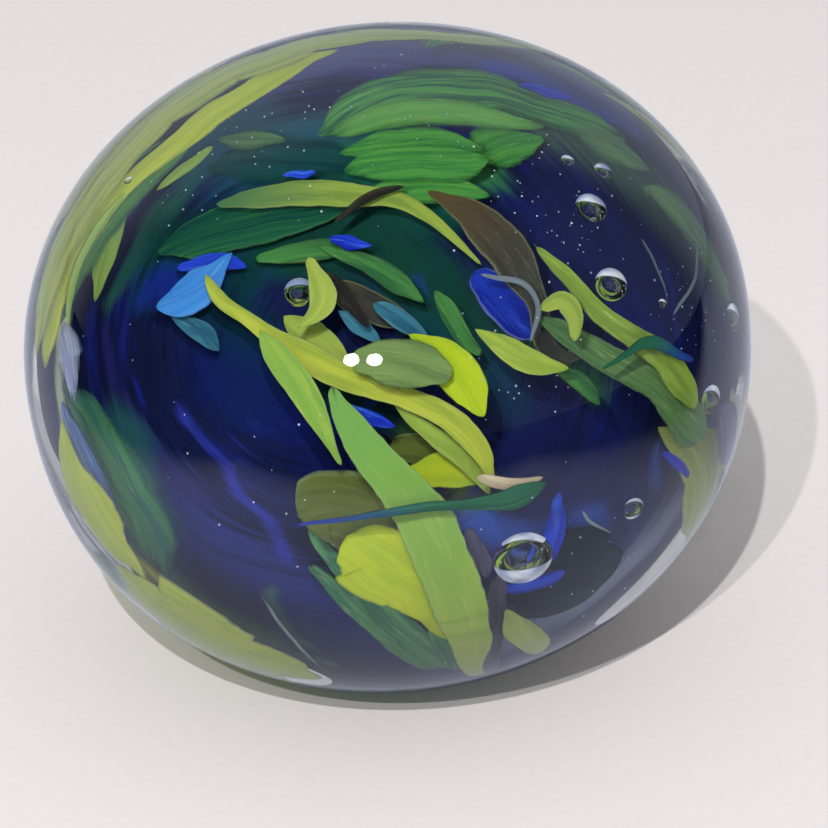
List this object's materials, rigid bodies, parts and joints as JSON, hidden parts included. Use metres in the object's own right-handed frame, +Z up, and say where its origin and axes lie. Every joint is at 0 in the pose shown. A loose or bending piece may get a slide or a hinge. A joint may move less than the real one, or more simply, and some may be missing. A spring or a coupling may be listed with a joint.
{
  "type": "paperweight",
  "caption": "Leaning clear glass dome paperweight with a cobalt core, swirling lime and green glass ribbons, air bubbles and a flat ground base.",
  "frame": {"origin": "centre of the flat ground base, on the table", "axes": "+Z up through the dome; +Y points away from the front; +X to the right; the dome leans towards -X"},
  "size_m": [0.0812, 0.0812, 0.0696],
  "materials": {
    "clear_glass": "clear, fire polished, flat base ground",
    "cobalt_glass": "deep translucent cobalt",
    "bright_cobalt_glass": "bright translucent cobalt",
    "sky_blue_glass": "milky sky blue",
    "lime_glass": "opaque lime",
    "yellow_lime_glass": "opaque yellow green",
    "green_glass": "streaky leaf green",
    "dark_green_glass": "dark translucent green",
    "olive_glass": "smoky olive",
    "teal_glass": "dark translucent teal",
    "smoky_glass": "smoky brown grey with amber",
    "lilac_glass": "milky lilac",
    "brown_glass": "brown to amber, translucent",
    "cream_glass": "milky cream"
  },
  "bodies": {
    "root": {"amber_patch": "brown_glass", "bright_cobalt_blob": "bright_cobalt_glass", "brown_threads": "brown_glass", "clear_casing": "clear_glass", "cobalt_core": "cobalt_glass", "cobalt_flames": "bright_cobalt_glass", "cobalt_flecks": "bright_cobalt_glass", "cream_sliver": "cream_glass", "dark_green_leaf": "dark_green_glass", "dark_green_threads": "dark_green_glass", "dark_teal_lens": "teal_glass", "grass_blades": "green_glass", "green_back_fan": "green_glass", "green_back_sweep": "green_glass", "green_fan_band": "green_glass", "green_fan_crest": "green_glass", "green_fan_skirt": "green_glass", "green_rim_band": "green_glass", "green_side_veil": "green_glass", "green_smears": "green_glass", "green_streamer": "green_glass", "lilac_cluster": "lilac_glass", "lime_back_streamers": "lime_glass", "lime_back_sweep": "lime_glass", "lime_blade": "lime_glass", "lime_down_branch": "lime_glass", "lime_foot": "lime_glass", "lime_heart": "yellow_lime_glass", "lime_hook": "lime_glass", "lime_leaf": "lime_glass", "lime_lower_band": "lime_glass", "lime_rim_band": "lime_glass", "lime_rim_slivers": "lime_glass", "lime_shards": "lime_glass", "lime_side_pool": "lime_glass", "lime_stem": "lime_glass", "lime_streamer": "lime_glass", "lime_under_branch": "lime_glass", "olive_leaf": "olive_glass", "olive_oval": "olive_glass", "outer_rim_band": "lime_glass", "pale_blue_lens": "sky_blue_glass", "pale_side_veil": "lime_glass", "pale_threads": "cream_glass", "purple_lens": "lilac_glass", "sky_blue_back_swirl": "sky_blue_glass", "sky_blue_chip": "sky_blue_glass", "small_green_leaves": "green_glass", "smoky_column": "smoky_glass", "smoky_ribbon": "smoky_glass", "teal_back_veil": "teal_glass", "teal_chips": "sky_blue_glass", "teal_wash": "teal_glass", "underside_swirl": "green_glass", "yellow_pools": "yellow_lime_glass"}
  },
  "joints": []
}
